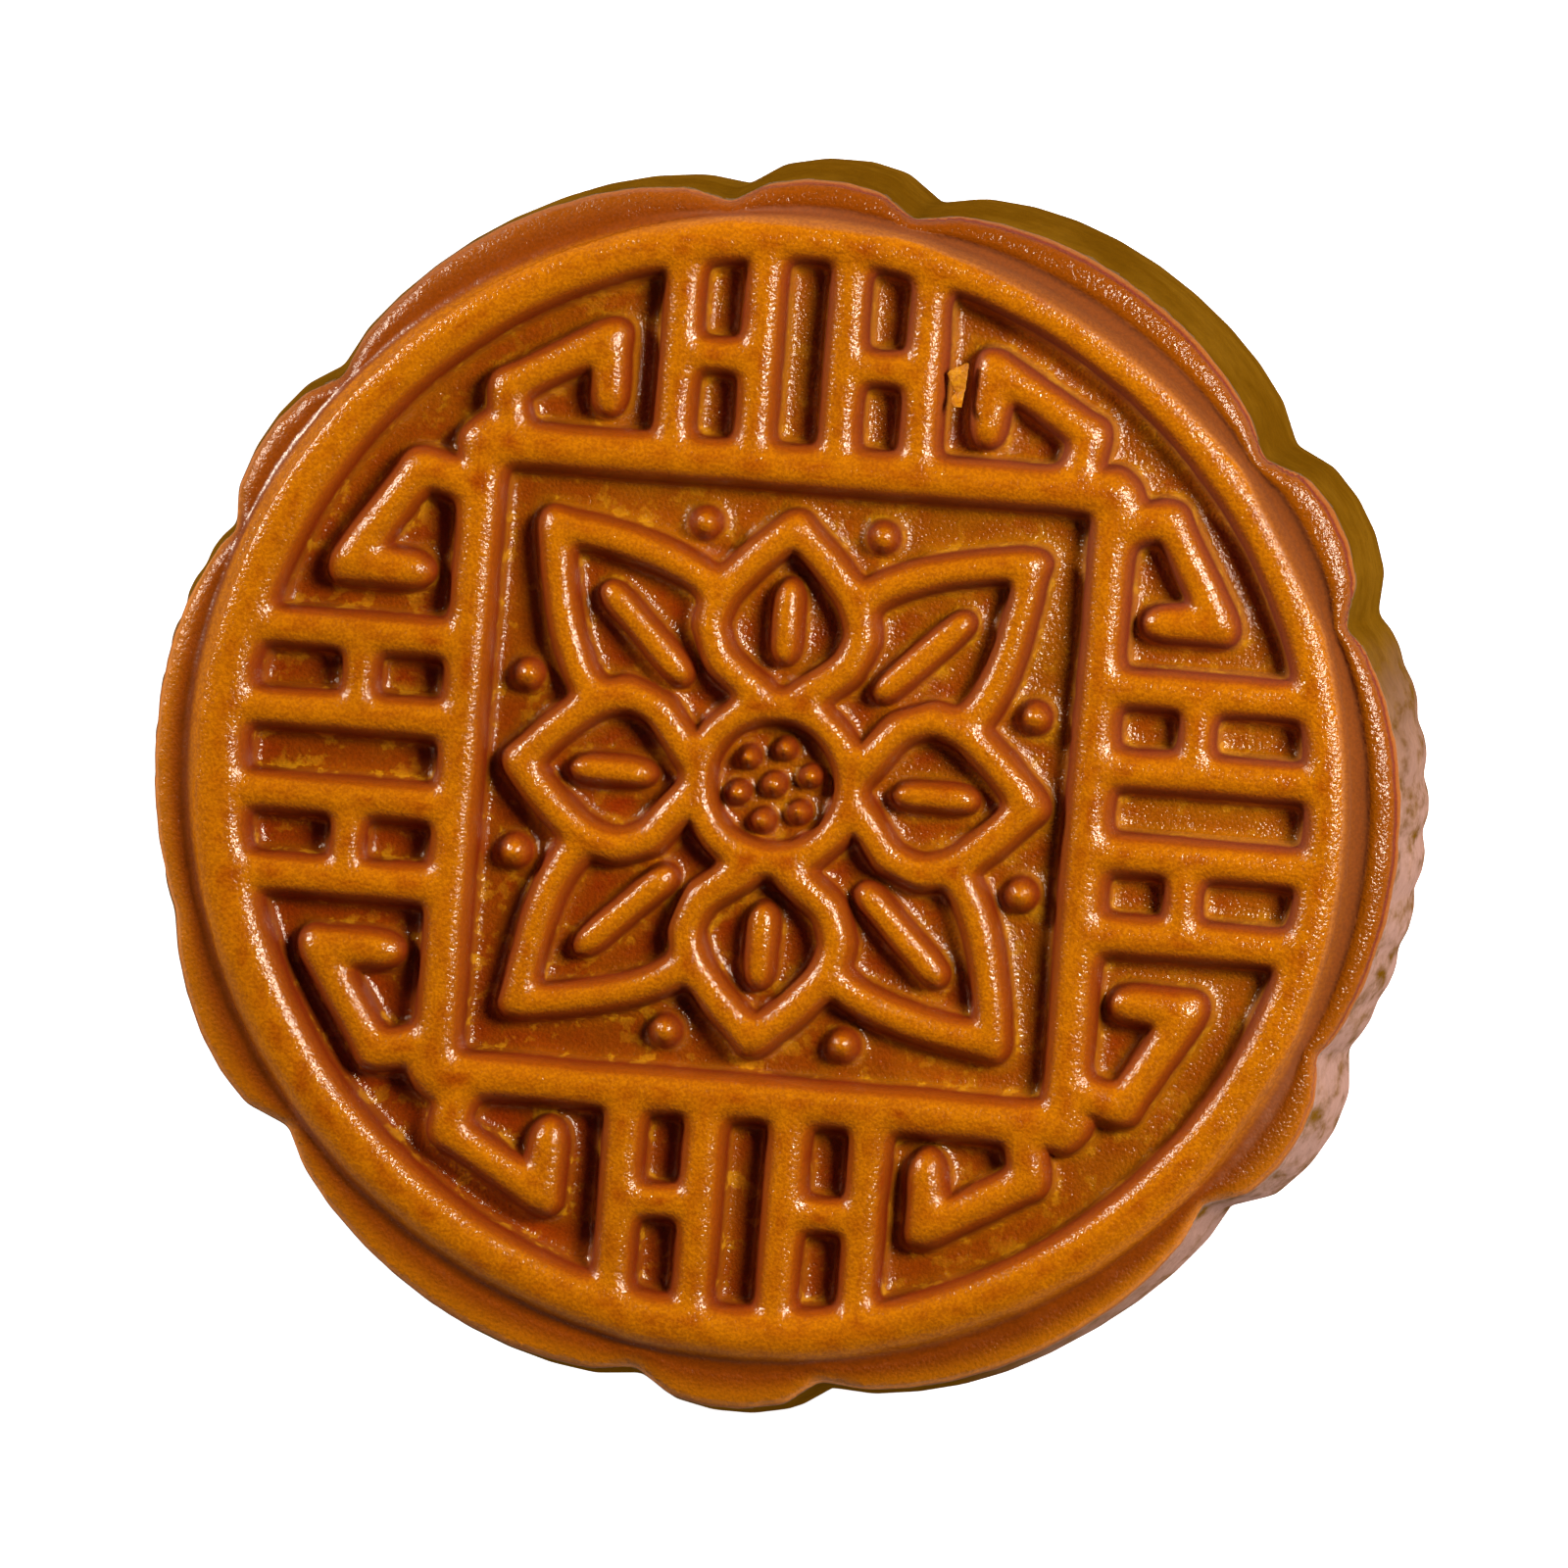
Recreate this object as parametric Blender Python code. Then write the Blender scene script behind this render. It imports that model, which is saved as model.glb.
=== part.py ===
"""A round moulded mooncake: a scalloped, slightly bulging cake whose top carries a raised print
of a ring, a square frame, four key lattices, eight corner hooks and a lotus flower."""

import math

import bmesh
import bpy

MM = 0.001

# The cake, in millimetres
CAKE_HEIGHT = 35.0  # from the flat underside to the crest of the ring
RIM_DROP = 1.3  # from the crest of the ring down to the scalloped rim
GROOVE_DROP = 1.6  # and down to the groove at the ring's outer foot
FLOOR_DROP = 2.8  # and down to the floor of the print

# The petals round the rim: where each begins in degrees from +X, the radius of the notch there,
# the radius at its middle, and how much of the side's swell it has
PETALS = (
    (-21.0, 38.5, 40.1, 0.75),
    (21.0, 38.0, 40.1, 0.55),
    (39.0, 37.9, 39.7, 1.1),
    (81.0, 37.7, 39.3, 1.2),
    (99.0, 37.9, 40.3, 0.55),
    (141.0, 38.6, 40.1, 0.8),
    (159.0, 38.6, 40.2, 1.0),
    (196.0, 39.5, 40.3, 0.9),
    (219.0, 38.1, 39.7, 0.9),
    (261.0, 38.0, 39.7, 0.9),
    (279.0, 37.9, 39.6, 0.7),
    (321.0, 38.05, 40.2, 1.15),
)
PETAL_FULLNESS = 0.65  # below 1 the petals are rounder than a parabola
STEP_ANGLE = math.radians(4.2)
FLUTED_PETALS = (0, 6)
FLUTE_COUNT = 8
FLUTE_STEPS = 3
FLUTE_DEPTH = 0.42

# The side of the cake: height above the table, and how far it stands out past the rim's edge
SIDE_PROFILE = (
    (0.0, -1.3),
    (0.6, -0.2),
    (2.5, 0.55),
    (7.0, 1.05),
    (13.0, 1.3),
    (19.0, 1.25),
    (26.0, 0.85),
    (31.0, 0.25),
    (33.45, 0.0),
    (33.85, -0.3),
)
FLUTE_TOP = 31.0  # the flutes fade out between this height and the next row up
RIM_INNER_INSET = 1.1  # from the rim's edge in to the foot of its low lip
RIM_LEAST_INSET = 0.4  # the same where a notch cuts in as far as the ring

# The print: it sits a little off the middle of the cake, towards +Y
PRINT_SHIFT = 0.6
RING_OUTER_RADIUS = 36.97
RING_OUTER_SHIFT = (-0.45, -0.35)
RING_INNER_RADIUS = 33.6
RING_INNER_SHIFT = (0.05, -0.1)
RING_OVAL = 0.55  # the ring is longer along RING_OVAL_ANGLE by this at each end
RING_OVAL_ANGLE = math.radians(-17.0)
RING_CREST_SHARE = 0.46  # where the crest lies between the inner and the outer foot
RING_OUTER_ANGLES = (0.0, 33.0, 62.0, 90.0)
RING_INNER_ANGLES = (55.0, 15.0)
RING_ROUND = 1.9  # how far down the ring's inner side its rounding reaches
RING_INNER_FALL = 0.85  # and how far in, as a share of the way to the inner foot
FRAME_REACH = 20.25  # from the middle of the print to each bar of the square frame
FRAME_OVERRUN = 0.25  # how far a frame bar runs past its corner
FRAME_WIDTH = 3.1
FRAME_DROPS = (0.12, 0.17, 0.22, 0.27)  # below the crest of the ring, side by side
LATTICE_PLACES = (-7.9, -2.7, 2.7, 7.9)
LATTICE_SLIPS = (-0.4, -0.5, -0.1, -0.1)  # of the lattice along each side, from +Y on
LATTICE_END = 35.0  # the uprights run into the ring as far as this from the middle
LATTICE_WIDTH = 2.8
LATTICE_DROP = 0.3
CROSSBAR_REACHES = (27.0, 27.1, 27.3, 26.7)  # from the middle of the print, side by side
CROSSBAR_WIDTH = 2.4
CROSSBAR_DROP = 0.42
HOOK_CORNERS = ((18.1, 21.3), (18.9, 23.8), (12.3, 27.7), (12.2, 23.8))
HOOK_SLIPS = (-0.4, -0.5, 0.4, -0.1)  # of the hooks along each side, from +Y on
HOOK_STRETCHES = (1.0, 1.11, 1.0, 1.0)  # how far they reach out from the frame, side by side
HOOK_WIDTH = 2.75
HOOK_DROP = 0.35

# The lotus in the frame
POD_RADIUS = 5.0
POD_WIDTH = 2.2
POD_DROP = 0.5
POD_STEPS = 20
SEED_RADIUS = 0.8
SEED_CIRCLE = 2.4
SEED_COUNT = 6
STROKE_WIDTH = 2.4
FRONT_PETAL = {"start": 5.0, "tip": 16.5, "half_width": 5.0, "first": 0.04, "drop": 0.4}
BACK_PETAL = {"start": 4.0, "tip": 21.8, "half_width": 5.2, "first": 0.42, "drop": 0.55}
PETAL_STEPS = 6
PETAL_BOW = 0.8  # below 1 a petal is widest nearer its base
FRONT_VEIN = (8.6, 12.2)
BACK_VEIN = (9.4, 15.8)
VEIN_WIDTH = 2.0
VEIN_DROP = 0.7
PEARL_RADIUS = 1.2
PEARL_PLACE = (5.7, 16.3)
BUMP_DROP = 0.8  # of the seeds and the pearls
BUMP_SEGMENTS = 8
BUMP_RINGS = 6

# The section of every ridge of the print
WALL_DRAFT = 0.22  # how much wider each side is at the foot than at the shoulder
ROUND_SHARE = 0.42  # the rounded top's height, as a share of the ridge's width
ROUND_STEPS = 4
BURIED = 0.7  # how far a ridge's foot goes below the floor
NESTING = 0.04  # where strokes meet, each lies this much lower than the one before it
END_ANGLES = (45.0, 80.0)  # the stations round a round end, in degrees

QUARTER_TURN = math.pi / 2
SHARP_ANGLE = math.radians(40)


def crust_material():
    """Baked golden-syrup crust, brushed with egg."""
    material = bpy.data.materials.new("baked_crust")
    material.use_nodes = True
    shader = material.node_tree.nodes["Principled BSDF"]
    shader.inputs["Base Color"].default_value = (0.52, 0.17, 0.012, 1.0)
    shader.inputs["Roughness"].default_value = 0.42
    shader.inputs["Metallic"].default_value = 0.0
    return material


def finish_mesh(bm, name):
    """Turns a bmesh in millimetres into an object in metres, with its faces pointing out."""
    bmesh.ops.recalc_face_normals(bm, faces=bm.faces)
    bmesh.ops.scale(bm, vec=(MM, MM, MM), verts=bm.verts)
    mesh = bpy.data.meshes.new(name)
    bm.to_mesh(mesh)
    bm.free()
    return bpy.data.objects.new(name, mesh)


def bridge_rows(bm, rows):
    """Joins neighbouring closed rows of vertices with faces."""
    count = len(rows[0])
    for lower, upper in zip(rows, rows[1:]):
        for i in range(count):
            j = (i + 1) % count
            bm.faces.new((lower[i], lower[j], upper[j], upper[i]))


def petal_columns():
    """Every column of the side: its angle, its radius at the rim, its swell and its flute."""
    columns = []
    for k, (start, notch, peak, swell) in enumerate(PETALS):
        next_start, next_notch, _, next_swell = PETALS[(k + 1) % len(PETALS)]
        sweep = math.radians((next_start - start) % 360)
        fluted = k in FLUTED_PETALS
        steps = FLUTE_COUNT * FLUTE_STEPS if fluted else math.ceil(sweep / STEP_ANGLE)
        for step in range(steps):
            share = step / steps
            bow = (1 - (2 * share - 1) ** 2) ** PETAL_FULLNESS
            foot = notch + (next_notch - notch) * share
            angle = math.radians(start) + sweep * share
            ridge = abs(math.sin(math.pi * FLUTE_COUNT * share))
            flute = FLUTE_DEPTH * (1 - ridge) * bow if fluted else 0.0
            columns.append((angle, foot + (peak - foot) * bow, 1 + (swell - 1) * bow, flute))
    return columns


def add_side_row(bm, columns, height, outset):
    """One row of vertices round the side, at a height and at an outset from the rim's edge."""
    row = []
    for angle, radius, swell, flute in columns:
        reach = radius + outset * (swell if outset > 0 else 1)
        if height <= FLUTE_TOP:
            reach -= flute
        row.append(bm.verts.new((reach * math.cos(angle), reach * math.sin(angle), height)))
    return row


def ring_point(angle, share):
    """A point between the ring's inner foot, where share is 0, and its outer foot, where it is 1."""
    oval = RING_OVAL * math.cos(2 * (angle - RING_OVAL_ANGLE))
    inner, outer = RING_INNER_RADIUS + 0.5 * oval, RING_OUTER_RADIUS + oval
    reach = inner + (outer - inner) * share
    shift_x = RING_INNER_SHIFT[0] + (RING_OUTER_SHIFT[0] - RING_INNER_SHIFT[0]) * share
    shift_y = RING_INNER_SHIFT[1] + (RING_OUTER_SHIFT[1] - RING_INNER_SHIFT[1]) * share
    return reach * math.cos(angle) + shift_x, reach * math.sin(angle) + shift_y + PRINT_SHIFT


def add_rim_row(bm, columns, height):
    """The foot of the rim's lip, kept clear of the ring's outer foot."""
    row = []
    for angle, radius, _, _ in columns:
        groove = math.hypot(*ring_point(angle, 1.0))
        reach = min(max(radius - RIM_INNER_INSET, groove), radius - RIM_LEAST_INSET)
        row.append(bm.verts.new((reach * math.cos(angle), reach * math.sin(angle), height)))
    return row


def ring_section():
    """The ring from its outer foot over its crest to the floor, as shares and heights."""
    groove = CAKE_HEIGHT - GROOVE_DROP
    section = []
    for degrees in RING_OUTER_ANGLES:
        angle = math.radians(degrees)
        share = RING_CREST_SHARE + (1 - RING_CREST_SHARE) * math.cos(angle)
        section.append((share, groove + GROOVE_DROP * math.sin(angle)))
    for degrees in RING_INNER_ANGLES:
        angle = math.radians(degrees)
        share = RING_CREST_SHARE * (1 - RING_INNER_FALL * math.cos(angle))
        section.append((share, CAKE_HEIGHT - RING_ROUND * (1 - math.sin(angle))))
    section.append((0.0, CAKE_HEIGHT - FLOOR_DROP))
    return section


def build_cake():
    """The scalloped cake, with its low rim, its ring and the sunk floor that the print stands on."""
    bm = bmesh.new()
    columns = petal_columns()
    rows = [add_side_row(bm, columns, height, outset) for height, outset in SIDE_PROFILE]
    rows.append(add_rim_row(bm, columns, CAKE_HEIGHT - RIM_DROP))
    for share, height in ring_section():
        rows.append([bm.verts.new((*ring_point(column[0], share), height)) for column in columns])
    bridge_rows(bm, rows)
    bm.faces.new(rows[0])
    bm.faces.new(rows[-1])
    return finish_mesh(bm, "mooncake")


def ridge_stations(path, width, closed, round_ends):
    """Each station's place, heading and swell, which falls away at a round end."""
    count = len(path)
    stations = []
    for i, point in enumerate(path):
        before = path[i - 1] if closed or i > 0 else point
        after = path[(i + 1) % count] if closed or i < count - 1 else point
        heading = math.atan2(after[1] - before[1], after[0] - before[0])
        stations.append((point, heading, 1.0))
    for end in round_ends:
        (x, y), heading, _ = stations[end]
        outward = -1 if end == 0 else 1
        cap = []
        for angle in map(math.radians, END_ANGLES):
            reach = outward * width / 2 * math.sin(angle)
            place = (x + reach * math.cos(heading), y + reach * math.sin(heading))
            cap.append((place, heading, math.cos(angle)))
        stations = cap[::-1] + stations if end == 0 else stations + cap
    return stations


def build_ridge(name, path, width, drop=0.0, closed=False, round_ends=()):
    """A ridge of dough along a path, with drafted walls and a rounded top."""
    bm = bmesh.new()
    foot_height = CAKE_HEIGHT - FLOOR_DROP - BURIED
    shoulder_height = CAKE_HEIGHT - drop - ROUND_SHARE * width
    rows = []
    for (x, y), heading, swell in ridge_stations(path, width, closed, round_ends):
        foot = swell * width / 2
        shoulder = swell * (width / 2 - WALL_DRAFT)
        section = [(-foot, foot_height)]
        for step in range(ROUND_STEPS + 1):
            angle = math.pi * (1 - step / ROUND_STEPS)
            rise = swell * ROUND_SHARE * width * math.sin(angle)
            section.append((shoulder * math.cos(angle), shoulder_height + rise))
        section.append((foot, foot_height))
        row = []
        for across, height in section:
            place = (x + across * math.sin(heading), y - across * math.cos(heading), height)
            row.append(bm.verts.new(place))
        rows.append(row)
    if closed:
        rows.append(rows[0])
    bridge_rows(bm, rows)
    if not closed:
        bm.faces.new(rows[0])
        bm.faces.new(rows[-1])
    return finish_mesh(bm, name)


def turned(points, angle):
    """Points turned about the middle of the print and set in place on the cake."""
    cosine, sine = math.cos(angle), math.sin(angle)
    return [(x * cosine - y * sine, x * sine + y * cosine + PRINT_SHIFT) for x, y in points]


def side_ridges(side):
    """One bar of the frame, with the key lattice and the two hooks outside it."""
    angle = side * QUARTER_TURN
    ridges = []

    def add(kind, points, width, drop, round_ends=()):
        name = f"{kind}_{side}_{len(ridges)}"
        ridges.append(build_ridge(name, turned(points, angle), width, drop, round_ends=round_ends))

    end = FRAME_REACH + FRAME_OVERRUN
    bar = [(-end, FRAME_REACH), (end, FRAME_REACH)]
    add("frame", bar, FRAME_WIDTH, FRAME_DROPS[side], (0, -1))
    places = [place + LATTICE_SLIPS[side] for place in LATTICE_PLACES]
    for place in places:
        top = math.sqrt(LATTICE_END**2 - place**2)
        add("lattice", [(place, FRAME_REACH), (place, top)], LATTICE_WIDTH, LATTICE_DROP)
    reach = CROSSBAR_REACHES[side]
    for k in (0, 2):
        bar = [(places[k], reach), (places[k + 1], reach)]
        add("crossbar", bar, CROSSBAR_WIDTH, CROSSBAR_DROP)
    for mirror in (-1, 1):
        corners = []
        for x, y in HOOK_CORNERS:
            stretched = FRAME_REACH + (y - FRAME_REACH) * HOOK_STRETCHES[side]
            corners.append((mirror * x + HOOK_SLIPS[side], stretched))
        for k, stroke in enumerate(zip(corners, corners[1:])):
            add("hook", list(stroke), HOOK_WIDTH, HOOK_DROP + NESTING * k, (-1,))
    return ridges


def petal_arms(petal):
    """The two sides of a pointed lotus petal along +X, from its base to its tip."""
    arm = []
    for step in range(PETAL_STEPS):
        share = petal["first"] + (1 - petal["first"]) * step / (PETAL_STEPS - 1)
        reach = petal["start"] + share * (petal["tip"] - petal["start"])
        arm.append((reach, petal["half_width"] * math.sin(math.pi * share**PETAL_BOW)))
    return arm, [(x, -y) for x, y in arm]


def circle_points(radius, count):
    """Points evenly round a circle."""
    angles = [2 * math.pi * step / count for step in range(count)]
    return [(radius * math.cos(angle), radius * math.sin(angle)) for angle in angles]


def lotus_ridges():
    """The lotus: a seed pod, four petals in front, four behind and a vein in each."""
    pod = turned(circle_points(POD_RADIUS, POD_STEPS), 0.0)
    ridges = [build_ridge("pod", pod, POD_WIDTH, POD_DROP, closed=True)]
    for petal, vein, turn in ((FRONT_PETAL, FRONT_VEIN, 0.0), (BACK_PETAL, BACK_VEIN, 0.5)):
        for k in range(4):
            angle = (k + turn) * QUARTER_TURN
            for arm, points in enumerate(petal_arms(petal)):
                drop = petal["drop"] + NESTING * arm
                name = f"petal_{k + turn}_{arm}"
                tip = (-1,) if arm == 0 else ()
                path = turned(points, angle)
                ridges.append(build_ridge(name, path, STROKE_WIDTH, drop, round_ends=tip))
            line = turned([(reach, 0.0) for reach in vein], angle)
            name = f"vein_{k + turn}"
            ridges.append(build_ridge(name, line, VEIN_WIDTH, VEIN_DROP, round_ends=(0, -1)))
    return ridges


def build_bump(name, place, radius):
    """A round bump that stands on the floor of the print."""
    bm = bmesh.new()
    bmesh.ops.create_uvsphere(bm, u_segments=BUMP_SEGMENTS, v_segments=BUMP_RINGS, radius=radius)
    bmesh.ops.scale(bm, vec=(1, 1, (FLOOR_DROP - BUMP_DROP) / radius), verts=bm.verts)
    bmesh.ops.translate(bm, vec=(*place, CAKE_HEIGHT - FLOOR_DROP), verts=bm.verts)
    return finish_mesh(bm, name)


def lotus_bumps():
    """The seeds in the pod, and a pearl on each side of every front petal's tip."""
    seeds = turned([(0.0, 0.0)] + circle_points(SEED_CIRCLE, SEED_COUNT), 0.3)
    bumps = [build_bump(f"seed_{k}", place, SEED_RADIUS) for k, place in enumerate(seeds)]
    x, y = PEARL_PLACE
    for side in range(4):
        for k, place in enumerate(turned([(-x, y), (x, y)], side * QUARTER_TURN)):
            bumps.append(build_bump(f"pearl_{side}_{k}", place, PEARL_RADIUS))
    return bumps


def fuse(cake, pieces):
    """Joins the print to the cake with one Boolean union, and removes the loose pieces."""
    relief = bpy.data.collections.new("relief")
    bpy.context.scene.collection.children.link(relief)
    for piece in pieces:
        relief.objects.link(piece)
    union = cake.modifiers.new("union", "BOOLEAN")
    union.operation = "UNION"
    union.operand_type = "COLLECTION"
    union.collection = relief
    union.solver = "EXACT"
    bpy.context.view_layer.update()
    graph = bpy.context.evaluated_depsgraph_get()
    fused = bpy.data.meshes.new_from_object(cake.evaluated_get(graph))
    cake.modifiers.clear()
    cake.data = fused
    for piece in pieces:
        bpy.data.objects.remove(piece)
    bpy.data.collections.remove(relief)


def centre_over_origin(cake):
    """Puts the middle of the cake's outline over the origin."""
    xs = [vertex.co.x for vertex in cake.data.vertices]
    ys = [vertex.co.y for vertex in cake.data.vertices]
    shift_x, shift_y = (min(xs) + max(xs)) / 2, (min(ys) + max(ys)) / 2
    for vertex in cake.data.vertices:
        vertex.co.x -= shift_x
        vertex.co.y -= shift_y


def main():
    for obj in list(bpy.data.objects):
        bpy.data.objects.remove(obj)
    cake = build_cake()
    bpy.context.scene.collection.objects.link(cake)
    pieces = []
    for side in range(4):
        pieces += side_ridges(side)
    pieces += lotus_ridges() + lotus_bumps()
    fuse(cake, pieces)
    centre_over_origin(cake)
    cake.data.materials.clear()
    cake.data.materials.append(crust_material())
    cake.data.shade_smooth()
    cake.data.set_sharp_from_angle(angle=SHARP_ANGLE)


main()
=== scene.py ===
import math

import bmesh
import bpy
import numpy as np
from mathutils import Matrix, Vector, noise


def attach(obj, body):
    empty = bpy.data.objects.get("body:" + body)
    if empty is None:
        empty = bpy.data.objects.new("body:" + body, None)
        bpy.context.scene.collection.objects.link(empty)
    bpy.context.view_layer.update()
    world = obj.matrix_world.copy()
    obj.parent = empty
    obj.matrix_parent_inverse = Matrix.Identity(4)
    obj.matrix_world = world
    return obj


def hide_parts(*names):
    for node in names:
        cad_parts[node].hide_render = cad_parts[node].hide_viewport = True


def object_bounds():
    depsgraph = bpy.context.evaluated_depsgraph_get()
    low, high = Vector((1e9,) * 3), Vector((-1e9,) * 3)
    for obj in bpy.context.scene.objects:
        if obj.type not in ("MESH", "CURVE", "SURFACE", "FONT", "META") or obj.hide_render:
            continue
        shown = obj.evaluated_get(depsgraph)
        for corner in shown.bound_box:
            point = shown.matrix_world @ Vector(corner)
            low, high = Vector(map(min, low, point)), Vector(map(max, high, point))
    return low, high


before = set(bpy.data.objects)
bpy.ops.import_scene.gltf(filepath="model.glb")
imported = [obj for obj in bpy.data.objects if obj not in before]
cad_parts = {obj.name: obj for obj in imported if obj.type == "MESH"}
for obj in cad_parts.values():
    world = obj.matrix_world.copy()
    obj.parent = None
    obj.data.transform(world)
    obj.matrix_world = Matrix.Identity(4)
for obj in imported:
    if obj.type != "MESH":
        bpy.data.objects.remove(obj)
cad_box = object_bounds()
MM = 0.001


# The cake: one lump of golden-syrup dough round a lotus seed paste, pressed in a carved mould and
# baked twice. Its crust is soft, so every ridge of the print runs into the next one in a small
# fillet, and nothing on it is quite straight or level.
VOXEL = 0.24 * MM
LIKE_CAD = 0.02 * MM
BOX_GAP = 0.003 * MM
MAP_CELL = 0.3
MAP_SIDE = 288
SHARP_CELLS = 3
HOLLOW_CELLS = 5
HOLLOW_DEPTH = 0.9
SOFTEN_ROUNDS = 8
SOFTEN_SHARE = 0.5
PRINT_ROUNDS = 12
CREST_ROUNDS = 14
FATTEN = 0.2
FLOOR_HEIGHT = 32.2
CREST_HEIGHT = 35.0
PRINT_REACH = 37.0
PRINT_STARTS = (FLOOR_HEIGHT - 1.0, FLOOR_HEIGHT - 0.5)
CREST_STARTS = (FLOOR_HEIGHT + 0.9, CREST_HEIGHT - 0.6)
RING_ENDS = (0.3, 0.1)
FAT_ABOVE_FLOOR = 0.1
SURE_CREST = 0.99
HIGH_CRESTS = 90
MOST_FACES = 196000
EDGE_STEPS = 720
RIM_HEIGHT = 33.0
RING_FOOT = 36.97
RING_CENTRE = (-0.07, 0.26)
RING_OVAL = 0.55
RING_OVAL_ANGLE = math.radians(-17.0)
RIM_FALL = 0.75
RIM_FALL_POWER = 1.6
RIM_SWELL = 0.24
SWELL_RISES, SWELL_ENDS = (0.22, 0.5), (0.98, 0.7)
RIM_GROOVE = 0.22
GROOVE_ALL_ROUND = 0.3
GROOVE_DROPS, GROOVE_ENDS = (-0.05, 0.08), (0.42, 0.2)
SWOLLEN_AZIMUTH = math.radians(35.0)
SWOLLEN_FROM = (10.0, 34.0)
FALL_STARTS = (24.0, 33.3)
DOME_DROP = 0.9
DOME_REACH = 40.0
FOOT_HEIGHT = 0.05
WELL_BELOW = -1.0

TOP_HEIGHT = 30.5
DRY_HEIGHT = 31.0
DRY_ROUNDS = 8
DRY_RIM = 0.7
DRY_SLOPE = 0.2
HEAVE_SIZE = 9.0
HEAVE_DEPTH = 0.10
DIMPLE_SIZE = 2.4
DIMPLE_DEPTH = 0.06
GRIT_SIZE = 0.8
GRIT_DEPTH = 0.02


def voxel_copy(mesh, name):
    """A copy of a CAD mesh, merged and rebuilt from small even squares."""
    bm = bmesh.new()
    bm.from_mesh(mesh)
    bmesh.ops.remove_doubles(bm, verts=bm.verts, dist=LIKE_CAD)
    merged = bpy.data.meshes.new(name)
    bm.to_mesh(merged)
    bm.free()
    obj = bpy.data.objects.new(name, merged)
    bpy.context.scene.collection.objects.link(obj)
    remesh = obj.modifiers.new("even", "REMESH")
    remesh.mode = "VOXEL"
    remesh.voxel_size = VOXEL
    apply_modifiers(obj)
    return obj


def apply_modifiers(obj):
    graph = bpy.context.evaluated_depsgraph_get()
    finished = bpy.data.meshes.new_from_object(obj.evaluated_get(graph))
    obj.modifiers.clear()
    obj.data = finished


def vertex_places(mesh):
    flat = np.empty(len(mesh.vertices) * 3, np.float32)
    mesh.vertices.foreach_get("co", flat)
    return flat.reshape(-1, 3).astype(float)


def set_vertex_places(mesh, places):
    mesh.vertices.foreach_set("co", places.astype(np.float32).ravel())
    mesh.update()


def vertex_normals(mesh):
    flat = np.empty(len(mesh.vertices) * 3, np.float32)
    mesh.vertex_normals.foreach_get("vector", flat)
    return flat.reshape(-1, 3).astype(float)


def edge_ends(mesh):
    flat = np.empty(len(mesh.edges) * 2, np.int32)
    mesh.edges.foreach_get("vertices", flat)
    return flat.reshape(-1, 2)


def soften(places, ends, share, rounds):
    """Draws each vertex's place or value towards the mean of its neighbours', by its own share."""
    count = len(places)
    first, second = ends[:, 0], ends[:, 1]
    degree = np.bincount(ends.ravel(), minlength=count)[:, None]
    share = np.broadcast_to(np.asarray(share, float).reshape(-1, 1), (count, 1))
    for _ in range(rounds):
        total = np.empty_like(places)
        for axis in range(places.shape[1]):
            column = places[:, axis]
            total[:, axis] = np.bincount(first, column[second], count)
            total[:, axis] += np.bincount(second, column[first], count)
        places = places + share * (total / degree - places)
    return places


def ramp(values, low, high):
    """0 at low and 1 at high, easing in and out between them, and the same with low above high."""
    share = np.clip((values - low) / (high - low), 0.0, 1.0)
    return share * share * (3 - 2 * share)


def reach_of(places):
    """How far each place is from the cake's middle, in mm."""
    return np.hypot(places[:, 0], places[:, 1]) / MM


def rough_field(places, size, seed):
    """Smooth noise from about -1 to 1 at each place, with lumps of about this size in mm."""
    shift = Vector((seed * 17.3, seed * 5.1, seed * 29.7))
    scale = 1.0 / (size * MM)
    return np.array([noise.noise(Vector(place) * scale + shift) for place in places])


def round_ring(places):
    """Each place's angle in steps round the ring, its reach, and the reach of the ring's foot."""
    x, y = places[:, 0] / MM - RING_CENTRE[0], places[:, 1] / MM - RING_CENTRE[1]
    angle = np.arctan2(y, x)
    steps = ((angle / math.pi + 1) / 2 * EDGE_STEPS).astype(int) % EDGE_STEPS
    foot = RING_FOOT + RING_OVAL * np.cos(2 * (angle - RING_OVAL_ANGLE))
    return steps, np.hypot(x, y), foot


def rim_edges(places):
    """The reach of the rim's edge at each angle round the ring."""
    steps, reach, _ = round_ring(places)
    on_rim = places[:, 2] > RIM_HEIGHT * MM
    edges = np.zeros(EDGE_STEPS)
    np.maximum.at(edges, steps[on_rim], reach[on_rim])
    return edges


def rim_share(places, edges):
    """How far out on the rim each place is: 0 at the ring's outer foot, and 1 at the rim's edge."""
    steps, reach, foot = round_ring(places)
    return (reach - foot) / np.maximum(edges[steps] - foot, 0.5)


cake = voxel_copy(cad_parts["mooncake"].data, "cake")
ends = edge_ends(cake.data)
places = vertex_places(cake.data)
flat_foot = places[:, 2] < FOOT_HEIGHT * MM
places = soften(places, ends, SOFTEN_SHARE, SOFTEN_ROUNDS)
reach = reach_of(places)
height = places[:, 2] / MM
raised = ramp(height, *CREST_STARTS) * (reach < PRINT_REACH)
within_ring = ramp(rim_share(places, rim_edges(places)), *RING_ENDS)
printed = ramp(height, *PRINT_STARTS) * within_ring
places = soften(places, ends, SOFTEN_SHARE * printed, PRINT_ROUNDS)
places = soften(places, ends, SOFTEN_SHARE * raised, CREST_ROUNDS)
set_vertex_places(cake.data, places)
outwards = vertex_normals(cake.data)
outwards[:, 2] = 0.0
fatter = printed * (height > FLOOR_HEIGHT + FAT_ABOVE_FLOOR) * (reach < PRINT_REACH)
places += outwards * (fatter * FATTEN * MM)[:, None]
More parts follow.
